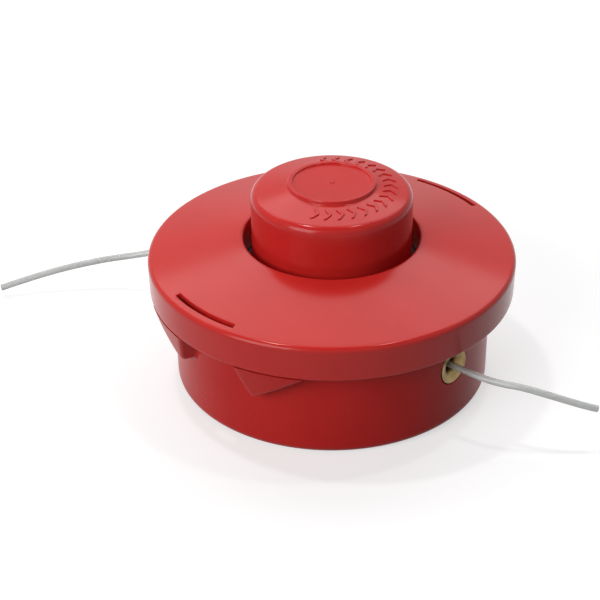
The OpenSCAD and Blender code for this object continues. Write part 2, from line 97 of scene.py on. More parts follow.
def makeMouldedSkin():
    tree, given, result = newGroup("mouldedSkin", "ShaderNodeTree", [
        ("Vector", "NodeSocketVector", None),
        ("Colour", "NodeSocketColor", (0.5, 0.5, 0.5, 1)),
        ("Second Colour", "NodeSocketColor", (0.4, 0.4, 0.4, 1)),
        ("Patch Scale", "NodeSocketFloat", 60.0),
        ("Grain Scale", "NodeSocketFloat", 2500.0),
        ("Low Roughness", "NodeSocketFloat", 0.25),
        ("High Roughness", "NodeSocketFloat", 0.35),
    ], [("Colour", "NodeSocketColor"), ("Roughness", "NodeSocketFloat"), ("Height", "NodeSocketFloat")])
    patches = put(tree, "ShaderNodeTexNoise", None, {
        "Vector": given["Vector"], "Scale": given["Patch Scale"], "Detail": 4.0, "Roughness": 0.55})
    spread = put(tree, "ShaderNodeMapRange", {"clamp": True}, {
        "Value": patches.outputs["Fac"], "From Min": 0.32, "From Max": 0.68})
    colour = put(tree, "ShaderNodeMix", {"data_type": "RGBA"}, {
        0: spread.outputs["Result"], 6: given["Colour"], 7: given["Second Colour"]})
    grain = put(tree, "ShaderNodeTexNoise", None, {
        "Vector": given["Vector"], "Scale": given["Grain Scale"], "Detail": 3.0, "Roughness": 0.6})
    blend = put(tree, "ShaderNodeMath", {"operation": "MULTIPLY_ADD"}, {
        0: grain.outputs["Fac"], 1: 0.5, 2: spread.outputs["Result"]})
    rough = put(tree, "ShaderNodeMapRange", {"clamp": True}, {
        "Value": blend.outputs[0], "From Min": 0.1, "From Max": 1.4,
        "To Min": given["Low Roughness"], "To Max": given["High Roughness"]})
    tree.links.new(colour.outputs[2], result["Colour"])
    tree.links.new(rough.outputs["Result"], result["Roughness"])
    tree.links.new(grain.outputs["Fac"], result["Height"])
    return tree


def makeFineScratches():
    tree, given, result = newGroup("fineScratches", "ShaderNodeTree", [
        ("Vector", "NodeSocketVector", None),
        ("Scale", "NodeSocketFloat", 300.0),
        ("Stretch", "NodeSocketFloat", 14.0),
        ("Amount", "NodeSocketFloat", 0.3),
    ], [("Mask", "NodeSocketFloat")])
    squeeze = put(tree, "ShaderNodeCombineXYZ", None, {"X": 1.0, "Y": given["Stretch"], "Z": 3.0})
    pulled = put(tree, "ShaderNodeMapping", None, {
        "Vector": given["Vector"], "Rotation": (0.3, 0.5, 0.9), "Scale": squeeze.outputs[0]})
    lines = put(tree, "ShaderNodeTexNoise", None, {
        "Vector": pulled.outputs[0], "Scale": given["Scale"], "Detail": 2.0})
    patch = put(tree, "ShaderNodeTexNoise", None, {"Vector": given["Vector"], "Scale": 45.0})
    thin = put(tree, "ShaderNodeMapRange", {"clamp": True}, {
        "Value": lines.outputs["Fac"], "From Min": 0.66, "From Max": 0.72})
    where = put(tree, "ShaderNodeMapRange", {"clamp": True}, {
        "Value": patch.outputs["Fac"], "From Min": 0.5, "From Max": 0.7})
    both = put(tree, "ShaderNodeMath", {"operation": "MULTIPLY"}, {
        0: thin.outputs["Result"], 1: where.outputs["Result"]})
    mask = put(tree, "ShaderNodeMath", {"operation": "MULTIPLY"}, {0: both.outputs[0], 1: given["Amount"]})
    tree.links.new(mask.outputs[0], result["Mask"])
    return tree


mouldedSkin = makeMouldedSkin()
fineScratches = makeFineScratches()


def newMaterial(name, constants):
    material = bpy.data.materials.new(name)
    material.use_nodes = True
    tree = material.node_tree
    shader = tree.nodes["Principled BSDF"]
    for key, value in constants.items():
        shader.inputs[key].default_value = value
    place = put(tree, "ShaderNodeTexCoord").outputs["Object"]
    return material, tree, shader, place


def mouldedFinish(name, finish):
    material, tree, shader, place = newMaterial(name, finish["constants"])
    skin = put(tree, "ShaderNodeGroup", {"node_tree": mouldedSkin}, {"Vector": place, **finish["skin"]})
    marks = put(tree, "ShaderNodeGroup", {"node_tree": fineScratches}, {
        "Vector": place, **finish["scratches"]})
    tree.links.new(skin.outputs["Colour"], shader.inputs["Base Color"])
    rough = put(tree, "ShaderNodeMath", {"operation": "ADD", "use_clamp": True}, {
        0: skin.outputs["Roughness"], 1: marks.outputs["Mask"]})
    tree.links.new(rough.outputs[0], shader.inputs["Roughness"])
    height = put(tree, "ShaderNodeMath", {"operation": "SUBTRACT"}, {
        0: skin.outputs["Height"], 1: marks.outputs["Mask"]})
    bump = put(tree, "ShaderNodeBump", None, {
        "Height": height.outputs[0], "Strength": finish["bump"], "Distance": finish["bumpDepth"] * mm})
    tree.links.new(bump.outputs[0], shader.inputs["Normal"])
    return material


redShine = {"Specular IOR Level": 0.22, "IOR": 1.5}
finishes = {
    "coverRed": mouldedFinish("coverRed", {
        "constants": redShine,
        "skin": {"Colour": (0.575, 0.022, 0.018, 1), "Second Colour": (0.540, 0.019, 0.016, 1),
                 "Patch Scale": 42.0, "Grain Scale": 1800.0, "Low Roughness": 0.15, "High Roughness": 0.21},
        "scratches": {"Scale": 260.0, "Amount": 0.06},
        "bump": 0.05, "bumpDepth": 0.05}),
    "housingRed": mouldedFinish("housingRed", {
        "constants": {"Specular IOR Level": 0.13, "IOR": 1.5},
        "skin": {"Colour": (0.560, 0.019, 0.016, 1), "Second Colour": (0.515, 0.016, 0.014, 1),
                 "Patch Scale": 38.0, "Grain Scale": 1500.0, "Low Roughness": 0.24, "High Roughness": 0.33},
        "scratches": {"Scale": 220.0, "Amount": 0.04},
        "bump": 0.06, "bumpDepth": 0.05}),
    "knobRed": mouldedFinish("knobRed", {
        "constants": redShine,
        "skin": {"Colour": (0.575, 0.020, 0.017, 1), "Second Colour": (0.530, 0.017, 0.015, 1),
                 "Patch Scale": 70.0, "Grain Scale": 1900.0, "Low Roughness": 0.15, "High Roughness": 0.21},
        "scratches": {"Scale": 300.0, "Amount": 0.10},
        "bump": 0.05, "bumpDepth": 0.05}),
    "spoolBlack": mouldedFinish("spoolBlack", {
        "constants": {"Specular IOR Level": 0.5},
        "skin": {"Colour": (0.030, 0.030, 0.032, 1), "Second Colour": (0.022, 0.022, 0.024, 1),
                 "Patch Scale": 50.0, "Grain Scale": 1400.0, "Low Roughness": 0.38, "High Roughness": 0.5},
        "scratches": {"Scale": 240.0, "Amount": 0.2},
        "bump": 0.12, "bumpDepth": 0.05}),
}


finishes["cutLine"] = mouldedFinish("cutLine", {
    "constants": {"Specular IOR Level": 0.5, "IOR": 1.53, "Transmission Weight": 0.45},
    "skin": {"Colour": (0.66, 0.67, 0.66, 1), "Second Colour": (0.58, 0.59, 0.58, 1),
             "Patch Scale": 60.0, "Grain Scale": 2400.0, "Low Roughness": 0.20, "High Roughness": 0.30},
    "scratches": {"Scale": 500.0, "Amount": 0.05},
    "bump": 0.02, "bumpDepth": 0.02})
finishes["turnedBrass"] = mouldedFinish("turnedBrass", {
    "constants": {"Metallic": 1.0},
    "skin": {"Colour": (0.30, 0.21, 0.09, 1), "Second Colour": (0.20, 0.14, 0.06, 1),
             "Patch Scale": 260.0, "Grain Scale": 2600.0, "Low Roughness": 0.26, "High Roughness": 0.42},
    "scratches": {"Scale": 700.0, "Amount": 0.25},
    "bump": 0.10, "bumpDepth": 0.03})
finishes["zincSteel"] = mouldedFinish("zincSteel", {
    "constants": {"Metallic": 1.0},
    "skin": {"Colour": (0.56, 0.57, 0.59, 1), "Second Colour": (0.44, 0.45, 0.48, 1),
             "Patch Scale": 180.0, "Grain Scale": 2200.0, "Low Roughness": 0.28, "High Roughness": 0.45},
    "scratches": {"Scale": 600.0, "Amount": 0.25},
    "bump": 0.10, "bumpDepth": 0.03})
print("finishes ready")

# inner pieces keep their solids and take their finish here
carriedOver = {
    "spool": "spoolBlack",
    "line_winding": "cutLine",
    "thrust_washer": "zincSteel",
    "drive_nut": "zincSteel",
}
for nodeName, finish in carriedOver.items():
    nodes[nodeName].data.materials.clear()
    nodes[nodeName].data.materials.append(finishes[finish])


# mesh helpers, in millimetres

def meshFrom(name, solids, smoothAngle=30):
    points, faces = [], []
    for solidPoints, solidFaces in solids:
        first = len(points)
        points += [[c * mm for c in p] for p in solidPoints]
        faces += [[first + i for i in face] for face in solidFaces]
    mesh = bpy.data.meshes.new(name)
    mesh.from_pydata(points, [], faces)
    shape = bmesh.new()
    shape.from_mesh(mesh)
    bmesh.ops.remove_doubles(shape, verts=shape.verts, dist=2e-6)
    bmesh.ops.dissolve_degenerate(shape, edges=shape.edges, dist=1e-6)
    bmesh.ops.recalc_face_normals(shape, faces=shape.faces)
    shape.to_mesh(mesh)
    shape.free()
    mesh.shade_smooth()
    mesh.set_sharp_from_angle(angle=math.radians(smoothAngle))
    return mesh


def carrierOf(mesh):
    carrier = bpy.data.objects.new(mesh.name, mesh)
    bpy.context.scene.collection.objects.link(carrier)
    return carrier


def softened(carrier, width, angle=50):
    bevel = carrier.modifiers.new("softEdges", "BEVEL")
    bevel.width = width * mm
    bevel.segments = 2
    bevel.limit_method = "ANGLE"
    bevel.angle_limit = math.radians(angle)
    return carrier


def baked(carrier):
    name, before = carrier.name, carrier.data
    graph = bpy.context.evaluated_depsgraph_get()
    mesh = bpy.data.meshes.new_from_object(carrier.evaluated_get(graph))
    bpy.data.objects.remove(carrier)
    bpy.data.meshes.remove(before)
    mesh.name = name
    return mesh


def grown(carrier, tree, values):
    grow = carrier.modifiers.new(tree.name, "NODES")
    grow.node_group = tree
    for item in tree.interface.items_tree:
        if item.item_type == "SOCKET" and item.in_out == "INPUT" and item.name in values:
            grow[item.identifier] = values[item.name]
    return baked(carrier)


def addPiece(mesh, finish, body, stoodFor=()):
    mesh.materials.clear()
    mesh.materials.append(finishes[finish])
    piece = carrierOf(mesh)
    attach(piece, body)
    if stoodFor:
        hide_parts(*stoodFor)
    return piece


def filleted(corners, stepAngle=9):
    # corners are (r, z, fillet radius) round a closed outline
    line = []
    for i, (r, z, fillet) in enumerate(corners):
        if fillet <= 0:
            line.append((r, z))
            continue
        here = Vector((r, z))
        before = Vector(corners[i - 1][:2]) - here
        after = Vector(corners[(i + 1) % len(corners)][:2]) - here
        half = before.angle(after) / 2
        reach = min(fillet / math.tan(half), 0.49 * before.length, 0.49 * after.length)
        radius = reach * math.tan(half)
        middle = (before.normalized() + after.normalized()).normalized()
        centre = here + middle * radius / math.sin(half)
        start = here + before.normalized() * reach - centre
        end = here + after.normalized() * reach - centre
        first = math.atan2(start.y, start.x)
        turn = (math.atan2(end.y, end.x) - first + math.pi) % (2 * math.pi) - math.pi
        steps = max(2, math.ceil(abs(math.degrees(turn)) / stepAngle))
        for k in range(steps + 1):
            a = first + turn * k / steps
            line.append((centre.x + radius * math.cos(a), centre.y + radius * math.sin(a)))
    return line


def spaced(line, longest=6.0, near=0.4):
    # extra rows near the ends of long straight stretches keep their shading even
    result = []
    for i, start in enumerate(line):
        end = line[(i + 1) % len(line)]
        length = math.dist(start, end)
        result.append(start)
        if length > 2.5:
            count = math.ceil(length / longest)
            for t in [near / length] + [k / count for k in range(1, count)] + [1 - near / length]:
                result.append((start[0] + (end[0] - start[0]) * t, start[1] + (end[1] - start[1]) * t))
    return result


def turned(line, step, windows=()):
    # closed outline turned round the axis; a window is (first angle, last angle, outer r, inner r)
    count = round(360 / step)
    rows = len(line)
    points = [(r * math.cos(math.radians(k * step)), r * math.sin(math.radians(k * step)), z)
              for r, z in line for k in range(count)]
    gone, walls = set(), []
    for firstAngle, lastAngle, outer, inner in windows:
        def rowsAt(radius):
            found = [i for i, (r, z) in enumerate(line) if abs(r - radius) < 1e-6]
            return sorted(found, key=lambda i: -line[i][1])
        topOut, lowOut = rowsAt(outer)
        topIn, lowIn = rowsAt(inner)
        first, last = round(firstAngle / step), round(lastAngle / step)
        for k in range(first, last):
            gone |= {(min(topOut, topIn), k % count), (min(lowOut, lowIn), k % count)}
            here, there = k % count, (k + 1) % count
            walls.append([topOut * count + here, topOut * count + there,
                          lowOut * count + there, lowOut * count + here])
            walls.append([topIn * count + here, topIn * count + there,
                          lowIn * count + there, lowIn * count + here])
        for k in (first % count, last % count):
            walls.append([row * count + k for row in (topOut, topIn, lowIn, lowOut)])
    faces = [[i * count + k, i * count + (k + 1) % count,
              (i + 1) % rows * count + (k + 1) % count, (i + 1) % rows * count + k]
             for i in range(rows) for k in range(count) if (i, k) not in gone]
    return points, faces + walls


def sectorSolid(line, firstAngle, lastAngle, step=1.5):
    count = max(2, math.ceil((lastAngle - firstAngle) / step))
    rows = len(line)
    points = []
    for k in range(count + 1):
        a = math.radians(firstAngle + (lastAngle - firstAngle) * k / count)
        points += [(r * math.cos(a), r * math.sin(a), z) for r, z in line]
    faces = [[k * rows + i, k * rows + (i + 1) % rows, (k + 1) * rows + (i + 1) % rows, (k + 1) * rows + i]
             for k in range(count) for i in range(rows)]
    return points, faces + [list(range(rows)), [count * rows + i for i in reversed(range(rows))]]


def prism(outline, axis, low, high):
    # outline of (a, b) pairs pushed along one axis, which the pairs leave out
    place = {
        "x": lambda a, b, c: (c, a, b),
        "y": lambda a, b, c: (a, c, b),
        "z": lambda a, b, c: (a, b, c),
    }[axis]
    count = len(outline)
    points = [place(a, b, low) for a, b in outline] + [place(a, b, high) for a, b in outline]
    faces = [[i, (i + 1) % count, count + (i + 1) % count, count + i] for i in range(count)]
    return points, faces + [list(range(count)), [count + i for i in reversed(range(count))]]


def moved(solid, turn=0.0, lift=0.0, tilt=0.0, out=0.0):
    # tilt about Y, shift out along X, turn about Z in degrees, then lift
    matrix = (Matrix.Translation((0, 0, lift)) @ Matrix.Rotation(math.radians(turn), 4, "Z")
              @ Matrix.Translation((out, 0, 0)) @ Matrix.Rotation(math.radians(tilt), 4, "Y"))
    return [tuple(matrix @ Vector(p)) for p in solid[0]], solid[1]


# geometry node trees for what repeats or follows a path

def makeRingPattern():
    tree, given, result = newGroup("ringPattern", "GeometryNodeTree", [
        ("Geometry", "NodeSocketGeometry", None),
        ("Count", "NodeSocketInt", 8),
        ("First Angle", "NodeSocketFloat", 0.0),
        ("Step Angle", "NodeSocketFloat", 45.0),
        ("Finish", "NodeSocketMaterial", None),
    ], [("Geometry", "NodeSocketGeometry")])
    spots = put(tree, "GeometryNodePoints", None, {"Count": given["Count"]})
    order = put(tree, "GeometryNodeInputIndex")
    degrees = put(tree, "ShaderNodeMath", {"operation": "MULTIPLY_ADD"}, {
        0: order.outputs[0], 1: given["Step Angle"], 2: given["First Angle"]})
    angle = put(tree, "ShaderNodeMath", {"operation": "RADIANS"}, {0: degrees.outputs[0]})
    spin = put(tree, "ShaderNodeCombineXYZ", None, {"Z": angle.outputs[0]})
    turn = put(tree, "FunctionNodeEulerToRotation", None, {0: spin.outputs[0]})
    copies = put(tree, "GeometryNodeInstanceOnPoints", None, {
        "Points": spots.outputs[0], "Instance": given["Geometry"], "Rotation": turn.outputs[0]})
    real = put(tree, "GeometryNodeRealizeInstances", None, {"Geometry": copies.outputs[0]})
    painted = put(tree, "GeometryNodeSetMaterial", None, {
        "Geometry": real.outputs[0], "Material": given["Finish"]})
    tree.links.new(painted.outputs[0], result["Geometry"])
    return tree


def makeLineAlongPath():
    tree, given, result = newGroup("lineAlongPath", "GeometryNodeTree", [
        ("Geometry", "NodeSocketGeometry", None),
        ("Radius", "NodeSocketFloat", 0.0012),
        ("Sides", "NodeSocketInt", 20),
        ("Finish", "NodeSocketMaterial", None),
    ], [("Geometry", "NodeSocketGeometry")])
    route = put(tree, "GeometryNodeMeshToCurve", None, {0: given["Geometry"]})
    share = put(tree, "GeometryNodeSplineParameter")
    marked = put(tree, "GeometryNodeStoreNamedAttribute", {"data_type": "FLOAT", "domain": "POINT"}, {
        "Geometry": route.outputs[0], "Name": "along", "Value": share.outputs["Length"]})
    section = put(tree, "GeometryNodeCurvePrimitiveCircle", None, {
        "Resolution": given["Sides"], "Radius": given["Radius"]})
    tube = put(tree, "GeometryNodeCurveToMesh", None, {
        "Curve": marked.outputs[0], "Profile Curve": section.outputs[0], "Fill Caps": True})
    smooth = put(tree, "GeometryNodeSetShadeSmooth", None, {0: tube.outputs[0]})
    real = put(tree, "GeometryNodeRealizeInstances", None, {"Geometry": smooth.outputs[0]})
    painted = put(tree, "GeometryNodeSetMaterial", None, {
        "Geometry": real.outputs[0], "Material": given["Finish"]})
    tree.links.new(painted.outputs[0], result["Geometry"])
    return tree


ringPattern = makeRingPattern()
lineAlongPath = makeLineAlongPath()


# free line ends: the route of each solid, in metres, from the winding outwards
lineSet = {
    "diameter": 2.4,
    "steps": 6,
    "sides": 20,
}
lineRoutes = {
    "Right": [
        (0.016, -0.031, 0.0236), (0.0205, -0.0295, 0.0236), (0.025, -0.029, 0.0236),
        (0.0295, -0.0295, 0.0236), (0.034, -0.031, 0.0236), (0.038, -0.034, 0.0236),
        (0.042, -0.0375, 0.0236), (0.046, -0.0405, 0.0235), (0.050, -0.0434, 0.0233),
        (0.0545, -0.046, 0.0231), (0.059, -0.048, 0.0231), (0.064, -0.0496, 0.023),
        (0.0695, -0.0508, 0.022), (0.075, -0.0515, 0.0205), (0.0805, -0.0519, 0.0188),
        (0.0855, -0.052, 0.0172), (0.090, -0.052, 0.0159)],
    "Left": [
        (-0.016, 0.031, 0.0236), (-0.0205, 0.0295, 0.0236), (-0.025, 0.029, 0.0236),
        (-0.0295, 0.0295, 0.0236), (-0.034, 0.031, 0.0236), (-0.038, 0.034, 0.0236),
        (-0.042, 0.0375, 0.0236), (-0.046, 0.0408, 0.0233), (-0.0505, 0.044, 0.0225),
        (-0.0555, 0.047, 0.0212), (-0.0605, 0.0495, 0.0196), (-0.0655, 0.0513, 0.018),
        (-0.0705, 0.0525, 0.0164), (-0.076, 0.0534, 0.0149), (-0.0815, 0.0538, 0.0138),
        (-0.087, 0.0539, 0.0128), (-0.0925, 0.0536, 0.0118), (-0.098, 0.053, 0.0108),
        (-0.1035, 0.0523, 0.0097), (-0.109, 0.0514, 0.0085), (-0.114, 0.0505, 0.0073),
        (-0.119, 0.0496, 0.006), (-0.1235, 0.0487, 0.0048), (-0.128, 0.048, 0.0034)],
}


def smoothRoute(route, steps):
    # one even curve through the chosen points
    points = [Vector(p) for p in route]
    points = [2 * points[0] - points[1]] + points + [2 * points[-1] - points[-2]]
    line = []
    for before, start, end, after in zip(points, points[1:], points[2:], points[3:]):
        for k in range(steps):
            t = k / steps
            line.append(0.5 * (2 * start + (end - before) * t
                               + (2 * before - 5 * start + 4 * end - after) * t ** 2
                               + (3 * start - before - 3 * end + after) * t ** 3))
    return line + [Vector(route[-1])]


def tubeAlong(name, points, radius, sides, finish):
    route = bpy.data.meshes.new(name)
    route.from_pydata(points, [(i, i + 1) for i in range(len(points) - 1)], [])
    return grown(carrierOf(route), lineAlongPath, {
        "Radius": radius * mm, "Sides": sides, "Finish": finishes[finish]})


for side, route in lineRoutes.items():
    curve = smoothRoute(route, lineSet["steps"])
    mesh = tubeAlong("cutLine" + side, curve, lineSet["diameter"] / 2, lineSet["sides"], "cutLine")
    piece = addPiece(mesh, "cutLine", "housing", ["line_tail_" + side.lower()])
print("free line ends ready")


# feed spring: closed turns at both ends, open turns between
springSet = {
    "wire": 2.0,
    "meanRadius": 14.0,
    "turns": 7.5,
    "closedPitch": 2.1,
    "foot": 5.0,
    "top": 34.35,
    "travel": 5.0,
    "stepsPerTurn": 36,
    "sides": 12,
}


def springHeight(t):
    closed, turns = springSet["closedPitch"], springSet["turns"]
    run = springSet["top"] - springSet["foot"] - springSet["wire"] - 2 * closed
    if t < 1:
        return t * closed
    if t < turns - 1:
        return closed + (t - 1) * run / (turns - 2)
    return closed + run + (t - turns + 1) * closed


def makeSpring():
    steps = springSet["stepsPerTurn"]
    points = []
    for k in range(round(springSet["turns"] * steps) + 1):
        a = math.radians(360 * k / steps)
        z = springSet["foot"] + springSet["wire"] / 2 + springHeight(k / steps)
        points.append((springSet["meanRadius"] * math.cos(a) * mm,
                       springSet["meanRadius"] * math.sin(a) * mm, z * mm))
    mesh = tubeAlong("feedSpring", points, springSet["wire"] / 2, springSet["sides"], "zincSteel")
    piece = addPiece(mesh, "zincSteel", "housing", ["feed_spring"])
    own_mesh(piece)


makeSpring()
print("spring ready")


# levels and radii that several pieces share, in millimetres
headSet = {
    "latchDirections": (228, 48),
    "exitDirections": (318.3, 138.3),
    "exitHeight": 23.6,
    "wallRadius": 56.4,
    "baseRadius": 56.0,
    "innerRadius": 53.9,
    "skirtRadius": 64.6,
    "teeth": 8,
    "slots": (61.7, 59.9),
    "coneFoot": (62.6185, 48.4),
    "coneSlope": 0.2107,
    "plate": 2.4,
}


def coneTop(r):
    return headSet["coneFoot"][1] + (headSet["coneFoot"][0] - r) * headSet["coneSlope"]


def coneUnder(r):
    return coneTop(r) - headSet["plate"]


def alongExit(solid, direction):
    # a solid turned about Z is laid along the line exit
    laid = moved(solid, turn=direction, tilt=90)
    return [(x, y, z + headSet["exitHeight"]) for x, y, z in laid[0]], laid[1]


def toothRing(name, tooth, finish, body):
    # section across the tooth, pushed outwards and repeated round the axis
    ramp = 0.35 * (tooth["high"] - tooth["low"])
    half = tooth["width"] / 2
    root, tip = (tooth["low"], tooth["high"]) if tooth["up"] else (tooth["high"], tooth["low"])
    solid = prism([(-half, root), (half, root), (half, tip), (ramp - half, tip)],
                  "x", tooth["inner"], tooth["outer"])
    one = softened(carrierOf(meshFrom(name, [solid])), 0.2)
    mesh = grown(one, ringPattern, {
        "Count": headSet["teeth"], "First Angle": tooth["first"], "Step Angle": 360 / headSet["teeth"],
        "Finish": finishes[finish]})
    return addPiece(mesh, finish, body)


# housing: one wall with a rounded foot, a hollow base and a central post
housingSet = {
    "corners": [
        (5.3, 0, 0.3), (13, 0, 0.4), (13, 2.5, 0.3), (49.5, 2.5, 0.3), (49.5, 0, 0.5), (56.0, 0, 3),
        (56.4, 35.6, 0), (56.4, 44, 0.4), (53.9, 44, 0.4), (53.9, 5, 2), (11, 5, 1), (11, 50, 0.8),
        (5.3, 50, 0.3)],
    "step": 1.5,
    "holeRadius": 6.9,
    "boss": [(4.35, 50.9, 0.2), (7.5, 50.9, 0.4), (7.5, 54.9, 0), (6.55, 54.9, 0), (6.55, 54.3, 0),
             (4.35, 54.3, 0.2)],
    "ribs": {"count": 12, "inner": 12.4, "outer": 50.1, "width": 1.6, "low": 0.4, "high": 2.8},
    "teeth": {"inner": 22.4, "outer": 29.4, "width": 4.6, "low": 4.4, "high": 9.0,
              "first": 36.78, "up": True},
}


def makeHousing():
    wall = carrierOf(meshFrom("housingCup", [turned(spaced(filleted(housingSet["corners"])),
                                                    housingSet["step"])]))
    cutters = []
    for direction in headSet["exitDirections"]:
        drill = turned([(0.0, 50.0), (housingSet["holeRadius"], 50.0), (housingSet["holeRadius"], 60.0),
                        (0.0, 60.0)], 7.5)
        cutters.append(carrierOf(meshFrom("drill", [alongExit(drill, direction)])))
        cut = wall.modifiers.new("exitHole", "BOOLEAN")
        cut.operation, cut.solver, cut.object = "DIFFERENCE", "EXACT", cutters[-1]
    mesh = baked(wall)
    for cutter in cutters:
        bpy.data.objects.remove(cutter)
    mesh.set_sharp_from_angle(angle=math.radians(30))
    addPiece(mesh, "housingRed", "housing", ["housing"])
    bosses = [alongExit(turned(filleted(housingSet["boss"]), 7.5), direction)
              for direction in headSet["exitDirections"]]
    addPiece(meshFrom("exitBosses", bosses), "housingRed", "housing")
    ribs = housingSet["ribs"]
    rib = prism([(-ribs["width"] / 2, ribs["low"]), (ribs["width"] / 2, ribs["low"]),
                 (ribs["width"] / 2, ribs["high"]), (-ribs["width"] / 2, ribs["high"])],
                "x", ribs["inner"], ribs["outer"])
    one = softened(carrierOf(meshFrom("baseRibs", [rib])), 0.25)
    addPiece(grown(one, ringPattern, {"Count": ribs["count"], "Step Angle": 360 / ribs["count"],
                                      "Finish": finishes["housingRed"]}),
             "housingRed", "housing")
    toothRing("floorTeeth", housingSet["teeth"], "housingRed", "housing")


makeHousing()
print("housing ready")

# latches: the ledge with its upright tongue, and two pairs of triangular wings
latchSet = {
    "ledge": [(55.8, 39.1), (61.55, 39.1), (61.55, 46.39), (60.05, 46.39), (60.05, 41.6), (55.8, 41.6)],
    "ledgeSpan": (-3.0, 9.5),
    "hook": [(58.1, 36.2), (62.8, 36.2), (62.8, 38.8), (58.1, 38.8)],
    "hookSpan": (-2.5, 9.0),
}
wingSet = {
    "middle": 22.5,
    "corners": ((-12.88, 35.3), (-7.31, 22.0), (12.88, 35.3)),
    "lift": 3.0,            # the form runs on above its cut top
    "tipRound": 1.8,
    "lean": 0.2707,
    "edge": 1.1,
    "foot": 1.0,
    "rings": 7,
}


def wingOutline():
    # the two lower edges are kept and run on upwards, the tip is rounded
    (u0, top), (u1, low), (u2, top) = wingSet["corners"]
    grow = (top + wingSet["lift"] - low) / (top - low)
    left, tip, right = (Vector((u1 + (u0 - u1) * grow, top + wingSet["lift"])), Vector((u1, low)),
                        Vector((u1 + (u2 - u1) * grow, top + wingSet["lift"])))
    a, b, c = (tip - right).length, (left - right).length, (left - tip).length
    centre = (a * left + b * tip + c * right) / (a + b + c)
    area = abs((tip - left).cross(right - left)) / 2
    inner = 2 * area / (a + b + c)
    line = filleted([(left.x, left.y, 0), (tip.x, tip.y, wingSet["tipRound"]), (right.x, right.y, 0)], 12)
    dense = []
    for i, start in enumerate(line):
        end = line[(i + 1) % len(line)]
        count = max(1, round(math.dist(start, end) / 1.2))
        dense += [Vector(start).lerp(Vector(end), k / count) for k in range(count)]
    return dense, centre, inner


def wingSolid(mirrored):
    dense, centre, inner = wingOutline()
    edge, foot = wingSet["edge"], wingSet["foot"]

    def wallAt(z):
        return headSet["baseRadius"] + (headSet["wallRadius"] - headSet["baseRadius"]) * (z - 3) / 32.6

    def outerAt(z):
        return headSet["skirtRadius"] - wingSet["lean"] * (wingSet["corners"][0][1] - z)

    rows = [(-foot, lambda z: wallAt(z) - 0.6), (-foot, lambda z: wallAt(z) - 0.02),
            (-0.3 * foot, lambda z: wallAt(z) + 0.3 * foot), (0, lambda z: wallAt(z) + foot)]
    for k in range(5):
        t = math.radians(90 * k / 4)
        rows.append((edge * (1 - math.cos(t)), lambda z, d=edge * (1 - math.sin(t)): outerAt(z) - d))
    for k in range(1, wingSet["rings"]):
        rows.append((edge + (inner - edge) * k / wingSet["rings"], outerAt))
    points, count = [], len(dense)
    for inset, radiusAt in rows:
        for p in dense:
            q = centre + (p - centre) * (1 - inset / inner)
            u = -q.x if mirrored else q.x
            points.append((math.sqrt(radiusAt(q.y) ** 2 - u * u), u, q.y))
    faces = [[i * count + k, i * count + (k + 1) % count, (i + 1) * count + (k + 1) % count,
              (i + 1) * count + k] for i in range(len(rows) - 1) for k in range(count)]
    u = -centre.x if mirrored else centre.x
    points.append((math.sqrt(outerAt(centre.y) ** 2 - u * u), u, centre.y))
    last = (len(rows) - 1) * count
    faces += [[last + k, last + (k + 1) % count, len(points) - 1] for k in range(count)]
    faces.append(list(reversed(range(count))))
    return points, faces


def makeWings():
    solids = []
    for direction in headSet["latchDirections"]:
        solids.append(moved(wingSolid(False), turn=direction + wingSet["middle"]))
        solids.append(moved(wingSolid(True), turn=direction - wingSet["middle"]))
    mesh = meshFrom("latchWings", solids, 40)
    shape = bmesh.new()
    shape.from_mesh(mesh)
    bmesh.ops.bisect_plane(shape, geom=list(shape.verts) + list(shape.edges) + list(shape.faces),
                           plane_co=(0, 0, wingSet["corners"][0][1] * mm), plane_no=(0, 0, 1),
                           clear_outer=True)
    bmesh.ops.holes_fill(shape, edges=[e for e in shape.edges if e.is_boundary], sides=0)
    bmesh.ops.recalc_face_normals(shape, faces=shape.faces)
    shape.to_mesh(mesh)
    shape.free()
    mesh.set_sharp_from_angle(angle=math.radians(40))
    addPiece(mesh, "housingRed", "housing")


def makeLatchParts(name, key, finish):
    first, last = latchSet[key + "Span"]
    solids = [sectorSolid(latchSet[key], direction + first, direction + last)
              for direction in headSet["latchDirections"]]
    piece = baked(softened(carrierOf(meshFrom(name, solids)), 0.2))
    addPiece(piece, finish, "housing")


makeWings()
makeLatchParts("latchLedges", "ledge", "housingRed")
makeLatchParts("latchHooks", "hook", "coverRed")
print("latches ready")

# cover: conical plate with a rounded rim, a skirt, a collar round the knob and two slots
coverSet = {
    "corners": [
        (62.2, 35.6, 0.3), (64.6, 35.6, 0.6), (65.0, 47.9, 4), (61.7, coneTop(61.7), 0),
        (59.9, coneTop(59.9), 0), (31.1, coneTop(31.1), 1), (31.1, 43.3, 0.3), (33.5, 43.3, 0.3),
        (33.5, coneUnder(33.5), 0.5), (51.6, coneUnder(51.6), 0.3), (51.6, 41, 0.3), (53.6, 41, 0.3),
        (53.6, 44, 0), (57.4, 44, 0.3), (57.4, coneUnder(57.4), 0.3), (59.9, coneUnder(59.9), 0),
        (61.7, coneUnder(61.7), 0), (62.2, coneUnder(62.2) - 1.0, 0)],
    "slotSpans": ((211, 238), (31, 58)),
    "step": 1.0,
    "ribs": {"count": 12, "inner": 40.2, "outer": 51.9, "width": 1.8},
    "dogs": {"inner": 32.9, "outer": 39.2, "width": 6.4, "low": 44.0, "high": 51.6,
             "first": 22.5, "up": False},
}


